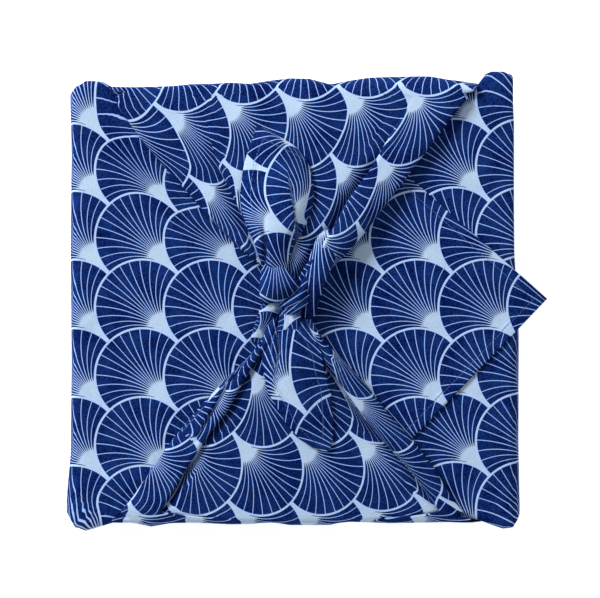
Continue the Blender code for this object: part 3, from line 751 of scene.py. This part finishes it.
# How many points of cloth lie along the base and side flaps, across and along a free end, and round and
# along a strand, and how far past the edge of the box a side flap's lie closer together.
BASE_POINTS = 61
END_POINTS = (41, 61)
STRAND_POINTS = (37, 25)
CLOSER = 30.0


def cloth_mesh():
    """The whole cloth, as one mesh of its middle surface."""
    bm = bmesh.new()
    bm.verts.layers.float_vector.new("cut")
    inner = np.linspace(-1, 1, BASE_POINTS) * CORNER_Y
    outer = even(CORNER_Y, (CORNER_Y + QUARTER, 4), (CORNER_Y + FLAP_TUCK, 4))[1:]
    across = np.concatenate([-outer[::-1], inner, outer])
    steps = np.arange(sum(SECTION_STEPS) + 1.0)
    base_x = (steps / steps[-1] * 2 - 1) * CORNER_X
    base_y = inner * (TIE_OUT - BEND) / CORNER_Y
    lay(bm, base_x, base_y, base_place, turned_over=True)
    for flap in (LEFT_FLAP, RIGHT_FLAP):
        edge = edge_distance(flap.level)
        wall = ((QUARTER, 3), (edge - QUARTER / 2, 6), (edge + QUARTER / 2, 4))
        rows = even(0, *wall, (edge + CLOSER, 7), (edge + flap.reach, 52))
        lay(bm, across, rows, partial(side_place, flap), turned_over=flap.sign < 0)
    for flap in (BACK_FLAP, FRONT_FLAP):
        edge = edge_distance(TIE_LEVEL + 2 * flap.rows[0].roll)
        wall = ((QUARTER, 3), (edge - QUARTER / 2, 10), (edge + QUARTER / 2, 4))
        rows = even(0, *wall, (edge + TIE_LONG, 60))
        lay(bm, steps, rows, partial(tie_place, flap), turned_over=flap.sign > 0)
    bmesh.ops.remove_doubles(bm, verts=bm.verts, dist=0.02 * MM)
    for rows, flap, at in ((BACK_END, BACK_FLAP, BACK_PRINT), (FRONT_END, FRONT_FLAP, FRONT_PRINT)):
        shares = np.linspace(0, 1, END_POINTS[0])
        along = np.linspace(0, len(rows) - 1, END_POINTS[1])
        lay(bm, shares, along, partial(end_place, rows, flap, at), turned_over=flap.sign < 0)
    for strand in STRANDS:
        around = np.linspace(0, 1, STRAND_POINTS[0])
        along = np.linspace(0, len(strand.rows) - 1, STRAND_POINTS[1])
        lay(bm, around, along, partial(strand_place, strand), turned_over=True)
    return bm


class Reading:
    """A number that varies over a surface. Sums with it add the shader's Math nodes."""

    def __init__(self, finish, socket):
        self.finish = finish
        self.socket = socket

    def __add__(self, other):
        return self.finish.maths("ADD", self, other)

    def __radd__(self, other):
        return self.finish.maths("ADD", other, self)

    def __sub__(self, other):
        return self.finish.maths("SUBTRACT", self, other)

    def __rsub__(self, other):
        return self.finish.maths("SUBTRACT", other, self)

    def __mul__(self, other):
        return self.finish.maths("MULTIPLY", self, other)

    def __rmul__(self, other):
        return self.finish.maths("MULTIPLY", other, self)

    def __truediv__(self, other):
        return self.finish.maths("DIVIDE", self, other)

    def __rtruediv__(self, other):
        return self.finish.maths("DIVIDE", other, self)


class Finish:
    """A material being mixed."""

    def __init__(self, name):
        self.material = bpy.data.materials.new(name)
        self.material.use_nodes = True
        self.tree = self.material.node_tree
        self.shader = self.tree.nodes["Principled BSDF"]

    def node(self, kind, settings=None, **sockets):
        """Adds a node: its settings, then the values or links of its sockets. s0 is its first input."""
        made = self.tree.nodes.new("ShaderNode" + kind)
        for name, value in (settings or {}).items():
            setattr(made, name, value)
        for name, value in sockets.items():
            if name[0] == "s" and name[1:].isdigit():
                socket = made.inputs[int(name[1:])]
            else:
                socket = made.inputs[name.replace("_", " ")]
            self.feed(socket, value)
        return made

    def feed(self, socket, value):
        """Gives a socket a value, or a link where the value is a reading or another node's socket."""
        if isinstance(value, Reading):
            value = value.socket
        if isinstance(value, bpy.types.NodeSocket):
            self.tree.links.new(value, socket)
        elif isinstance(value, tuple) and len(value) == 3 and len(socket.default_value) == 4:
            socket.default_value = (*value, 1)
        else:
            socket.default_value = value

    def look(self, **sockets):
        """Sets the finish's own sockets, such as its base colour and roughness."""
        for name, value in sockets.items():
            self.feed(self.shader.inputs[name.replace("_", " ")], value)

    def maths(self, operation, *values):
        """A Math node's result."""
        made = self.node("Math", {"operation": operation})
        for socket, value in zip(made.inputs, values):
            self.feed(socket, value)
        return Reading(self, made.outputs[0])

    def read(self, node, output):
        """A node's output, to be summed with others."""
        return Reading(self, node.outputs[output])

    def noise(self, where, scale, detail):
        """Soft spots, 0 to 1, so many to the metre."""
        return self.read(self.node("TexNoise", Vector=where, Scale=scale, Detail=detail), 0)

    def soft(self, value, start, end):
        """0 where value is at start, 1 where it is at end, eased between them."""
        eased = {"interpolation_type": "SMOOTHSTEP"}
        made = self.node("MapRange", eased, Value=value, From_Min=start, From_Max=end)
        return Reading(self, made.outputs["Result"])

    def blend(self, share, first, second):
        """A colour between two."""
        made = self.node("Mix", {"data_type": "RGBA"}, Factor=share, s6=first, s7=second)
        return made.outputs[2]

    def raised(self, height):
        """Lifts the surface by a height in millimetres, for the light alone."""
        bump = self.node("Bump", Height=height * MM, Strength=1.0, Distance=1.0)
        self.look(Normal=bump.outputs[0])


def linear(*screen):
    """A colour picked on a screen, as the renderer counts it."""
    found = []
    for share in (value / 255 for value in screen):
        dark = share < 0.04
        found.append(round(share / 12.92 if dark else ((share + 0.055) / 1.055) ** 2.4, 5))
    return tuple(found)


# The fan print, in shares of a fan's radius. A fan is round, and its root is at the foot of it. Its rays
# leave the root along its axis and bend outwards, to reach its border at even angles round its middle, a
# little closer near the axis and at both sides. Each pair is where a part of the print begins to change
# into the next, and where it has changed.
RAY_STEP = 12.3  # degrees
RAY_START = 1.25  # degrees off the axis, halfway between the two middle rays
RAY_CROWDING = 0.12
RAY_LIMIT = 86.0  # degrees off the axis, past which one side of a fan has no more rays
RAY_BROAD = (0.0058, 0.0100)
RAY_FLARE = 0.03  # how much broader a ray is near the root
FLARE_FROM_ROOT = (0.5, 0.78)
BORDER_EDGE = (0.953, 0.962)
HEART_EDGE = (0.52, 0.56)
NEAR_ROOT = (0.62, 0.95)
BESIDE_RAY = (0.009, 0.024)
# What the print says at each spot, 1 there and 0 elsewhere: its rays, borders and hearts, near a fan's
# root, where the rays take on the heart's tone, and close beside a ray. The dye is deepest in those last
# two.
FanPrint = namedtuple("FanPrint", "rays border heart near_root beside_ray")


def on_cloth(finish):
    """(the place on the cut cloth in metres, its x, its y and the distance from the hem in millimetres)."""
    cut = finish.node("Attribute", {"attribute_name": "cut"}).outputs["Vector"]
    split = finish.node("SeparateXYZ", s0=cut)
    return cut, *(finish.read(split, number) / MM for number in range(3))


def fan_print(finish, cut_x, cut_y):
    """The print on the cut cloth: round fans in staggered rows that overlap like fish scales."""
    radius = REPEAT / math.sqrt(2)
    east = cut_x - PRINT_FROM[0]
    north = cut_y - PRINT_FROM[1]
    wide = (east - north) / (math.sqrt(2) * radius)
    tall = (east + north) / (math.sqrt(2) * radius)
    # A row shows the upper halves of the fans whose middles lie along its foot, and between them the lower
    # halves of the fans whose middles lie along the next row's.
    row = finish.maths("FLOOR", tall)
    in_row = tall - row
    near = finish.maths("WRAP", wide - row - 1, 1, -1)
    far = finish.maths("WRAP", wide - row, 1, -1)
    inside = finish.maths("LESS_THAN", near * near + in_row * in_row, 1)
    over = far + inside * (near - far)
    up = in_row - 1 + inside
    # over and up are counted from the fan's middle, and root is the square of the distance from its root.
    reach = finish.maths("SQRT", over * over + up * up)
    root = over * over + (up + 1) * (up + 1)
    from_root = finish.maths("SQRT", root)
    # A ray is an arc. bent is how sharply it bends, and angle is where it reaches the border.
    bent = 2 * over / finish.maths("MAXIMUM", root, 0.0001)
    angle = 2 * finish.maths("ARCTANGENT", bent)
    step = math.radians(RAY_STEP)
    turned = angle - math.radians(RAY_START)
    count = turned / step + RAY_CROWDING * finish.maths("SINE", 4 * turned)
    # off is how far it is to the nearest ray.
    off = finish.maths("ABSOLUTE", finish.maths("WRAP", count, 1, 0) - 0.5)
    off = off * step * root * (1 + bent * bent) / 4
    off = off - RAY_FLARE * (1 - finish.soft(from_root, *FLARE_FROM_ROOT))
    return FanPrint(
        rays=(1 - finish.soft(off, *RAY_BROAD)) * finish.maths("LESS_THAN", angle, math.radians(RAY_LIMIT)),
        border=finish.soft(reach, *BORDER_EDGE),
        heart=1 - finish.soft(from_root, *HEART_EDGE),
        near_root=1 - finish.soft(from_root, *NEAR_ROOT),
        beside_ray=1 - finish.soft(off, *BESIDE_RAY),
    )


# The hem, from its edge: where its line of stitches runs, how broad that is, how far apart the stitches
# are and how far there is none, where the doubled cloth ends, and how far from the seam the cloth is
# pulled in.
SEAM = 6.6
STITCH_BROAD = (0.18, 0.34)
STITCH_PITCH = 1.7
STITCH_GAP = (0.18, 0.32)
HEM_EDGE = (7.8, 8.4)
SEAM_PULLS = 1.2
THREADS = 0.6  # the weave's repeat, two threads wide


def cotton():
    """Navy plain-weave cotton with its pale fan print."""
    finish = Finish("printed_cotton")
    cut, cut_x, cut_y, hem = on_cloth(finish)
    fans = fan_print(finish, cut_x, cut_y)
    slub = finish.noise(cut, 900.0, 2.0)
    grain = finish.soft(finish.noise(cut, 60.0, 3.0) * 0.35 + slub * 0.65, 0.34, 0.66)
    heart_tone = finish.blend(grain, linear(190, 210, 229), linear(207, 226, 241))
    border_tone = finish.blend(grain, linear(184, 208, 250), linear(200, 224, 255))
    ray_tone = finish.blend(grain, linear(156, 187, 255), linear(176, 207, 255))
    ray_tone = finish.blend(fans.near_root, ray_tone, heart_tone)
    navy = finish.blend(grain, linear(0, 10, 68), linear(26, 58, 122))
    deep = finish.maths("MAXIMUM", 0.6 * fans.beside_ray, 0.85 * fans.near_root)
    navy = finish.blend(deep, navy, linear(0, 3, 56))
    from_seam = finish.maths("ABSOLUTE", hem - SEAM)
    along_seam = finish.maths("PINGPONG", cut_x, STITCH_PITCH / 2)
    stitch = (1 - finish.soft(from_seam, *STITCH_BROAD)) * finish.soft(along_seam, *STITCH_GAP)
    colour = finish.blend(fans.rays, navy, ray_tone)
    colour = finish.blend(fans.border, colour, border_tone)
    colour = finish.blend(fans.heart, colour, heart_tone)
    colour = finish.blend(stitch * 0.75, colour, linear(88, 112, 168))
    finish.look(Base_Color=colour, Roughness=0.82 + 0.1 * slub, Specular_IOR_Level=0.03)
    turn = 2 * math.pi / THREADS
    weave = finish.maths("SINE", cut_x * turn) * finish.maths("SINE", cut_y * turn)
    doubled = 1 - finish.soft(hem, *HEM_EDGE)
    pulled = 1 - finish.soft(from_seam, 0.0, SEAM_PULLS)
    crumple = finish.noise(cut, 45.0, 4.0)
    finish.raised(0.04 * weave + 1.2 * crumple + 0.12 * slub + 0.4 * doubled - 0.25 * pulled)
    return finish.material


def reverse():
    """The cloth's unprinted side, where the print shows through palely."""
    finish = Finish("cotton_reverse")
    _, cut_x, cut_y, _ = on_cloth(finish)
    fans = fan_print(finish, cut_x, cut_y)
    light = finish.maths("MAXIMUM", finish.maths("MAXIMUM", fans.rays, fans.border), fans.heart)
    finish.look(Base_Color=finish.blend(light, linear(70, 90, 140), linear(196, 212, 232)), Roughness=0.9)
    return finish.material


def card():
    """Plain matt card for the box."""
    finish = Finish("plain_card")
    fibre = finish.noise(finish.node("TexCoord").outputs["Object"], 400.0, 4.0)
    tone = finish.blend(finish.soft(fibre, 0.3, 0.7), linear(168, 142, 108), linear(186, 160, 126))
    finish.look(Base_Color=tone, Roughness=0.8 + 0.15 * fibre)
    finish.raised(0.1 * fibre)
    return finish.material


def table_white():
    """A white table top, which also gives light of its own so that it stays evenly white."""
    finish = Finish("white_table")
    white = (1.0, 1.0, 1.0)
    finish.look(Base_Color=(0.9, 0.9, 0.9), Roughness=0.9, Emission_Color=white, Emission_Strength=0.75)
    return finish.material


def placed(name, data):
    """Adds an object to the scene."""
    made = bpy.data.objects.new(name, data)
    bpy.context.scene.collection.objects.link(made)
    return made


def shown(name, bm, *materials):
    """A visible object from a bmesh."""
    mesh = bpy.data.meshes.new(name)
    bm.to_mesh(mesh)
    bm.free()
    for material in materials:
        mesh.materials.append(material)
    mesh.shade_smooth()
    return placed(name, mesh)


def wrap():
    """The cloth round its box."""
    piece = shown("furoshiki", cloth_mesh(), cotton(), reverse())
    thick = piece.modifiers.new("cotton", "SOLIDIFY")
    thick.thickness = MM * COTTON
    thick.offset = 0
    thick.material_offset = 1
    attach(piece, "root")
    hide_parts("cloth")
    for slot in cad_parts["box"].material_slots:
        slot.material = card()


# The light and the view. Places and sizes are in metres, powers in watts and the sensor in millimetres.
FLOOR_HALF = 12.0
SKY = (0.86, 0.907, 1.0)
SKY_STRENGTH = 0.32
LAMP_TINT = (0.83, 0.89, 1.0)
Lamp = namedtuple("Lamp", "name spot side power")
LAMPS = (
    Lamp("window", (-1.8, 1.75, 1.6), 1.0, 106.0),
    Lamp("fill", (1.2, -1.0, 1.6), 1.6, 6.5),
)
SENSOR = 36.0
VIEW_MIDDLE = (0.00365, 0.00365)
VIEW_SIDE = 0.3978  # what the camera sees from side to side, at the height of the flaps
FLAPS_UP = 0.037
CAMERA_UP = 1.6  # above the flaps


def studio():
    """A plain pale floor in soft light."""
    bm = bmesh.new()
    bmesh.ops.create_grid(bm, x_segments=1, y_segments=1, size=FLOOR_HALF)
    floor = shown("table_top", bm, table_white())
    world = bpy.data.worlds.new("studio")
    world.use_nodes = True
    sky = world.node_tree.nodes["Background"]
    sky.inputs["Color"].default_value = (*SKY, 1)
    sky.inputs["Strength"].default_value = SKY_STRENGTH
    bpy.context.scene.world = world
    for lamp in LAMPS:
        data = bpy.data.lights.new(lamp.name, "AREA")
        data.size = lamp.side
        data.energy = lamp.power
        data.color = LAMP_TINT
        made = placed(lamp.name, data)
        made.location = lamp.spot
        made.rotation_euler = (-Vector(lamp.spot)).to_track_quat("-Z", "Y").to_euler()


def camera():
    """A camera straight above the wrap."""
    data = bpy.data.cameras.new("above")
    data.sensor_width = SENSOR
    data.lens = SENSOR * CAMERA_UP / VIEW_SIDE
    made = placed("above", data)
    made.location = (*VIEW_MIDDLE, FLAPS_UP + CAMERA_UP)
    bpy.context.scene.camera = made
    bpy.context.scene.view_settings.view_transform = "Standard"


wrap()
studio()
camera()
